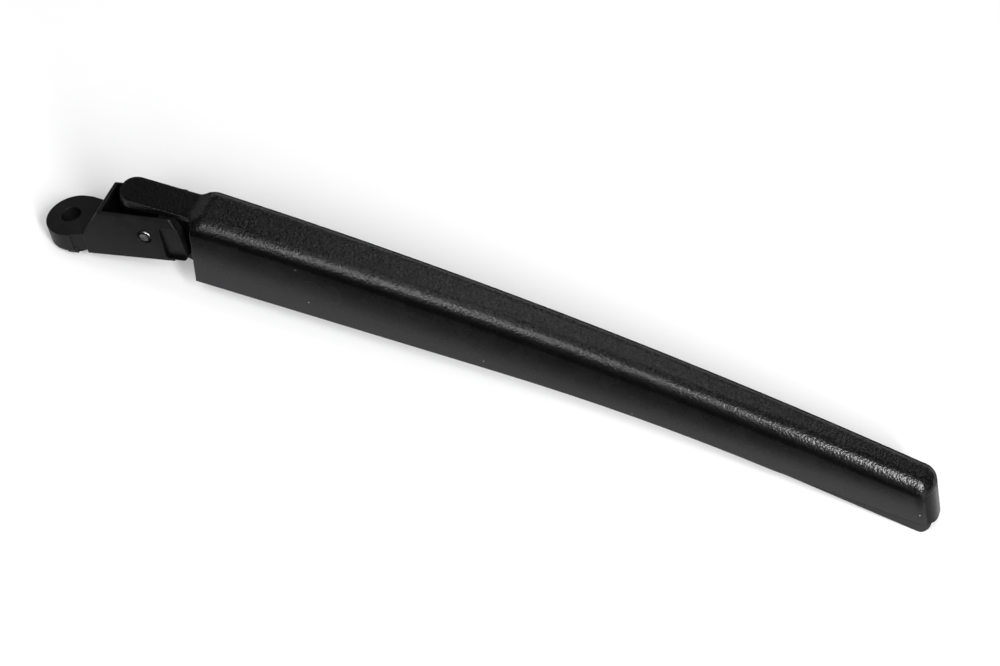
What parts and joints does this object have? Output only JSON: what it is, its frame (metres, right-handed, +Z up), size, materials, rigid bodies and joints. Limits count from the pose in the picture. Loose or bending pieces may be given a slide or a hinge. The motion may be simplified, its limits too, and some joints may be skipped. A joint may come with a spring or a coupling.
{
  "type": "windscreen wiper arm",
  "caption": "Black rear wiper arm: cast spindle head with a pivot pin, a long moulded arched arm that lifts against a tension spring, and a slotted blade holder at the tip.",
  "frame": {"origin": "centre of the spindle bore at the lug's top face", "axes": "+X along the arm towards its tip, +Y along the pivot pin to the far side, +Z up, as the arm lies on a table on the lug's lower edge and the holder's toe"},
  "size_m": [0.3855, 0.0242, 0.0458],
  "materials": {
    "head_coat": "dull black coat on a die casting",
    "shell_plastic": "black, pebble grained on top, smoother on the side walls",
    "holder_plastic": "black, smooth and matte",
    "bush_plastic": "dark grey bearing plastic",
    "pin_steel": "bright plain steel",
    "link_steel": "zinc plated sheet steel",
    "spring_steel": "dark oiled spring wire"
  },
  "bodies": {
    "head": {"mounting_head": "head_coat", "pivot_pin": "pin_steel", "link_anchor_pin": "pin_steel"},
    "arm": {"arm_shell": "shell_plastic", "pivot_bush_near": "bush_plastic", "pivot_bush_far": "bush_plastic", "spring_post": "pin_steel", "blade_holder": "holder_plastic", "blade_pin": "pin_steel", "tension_spring": "spring_steel"},
    "link": {"spring_link": "link_steel"}
  },
  "joints": [
    {"name": "arm_lift", "type": "hinge", "parent": "head", "child": "arm", "pos_m": [0.03798, 0, 0.01378], "axis": [0, -1, 0], "range_deg": [0, 55], "stiffness_Nm_per_rad": 1.5, "springref_deg": -45.84, "deforming": ["tension_spring"]},
    {"name": "link_swing", "type": "hinge", "parent": "head", "child": "link", "pos_m": [0.03881, 0, 0.00582], "axis": [0, -1, 0], "range_deg": [0, 54]}
  ],
  "couplings": [
    {"joint": "link_swing", "follows": "arm_lift", "ratio": 0.9745}
  ]
}
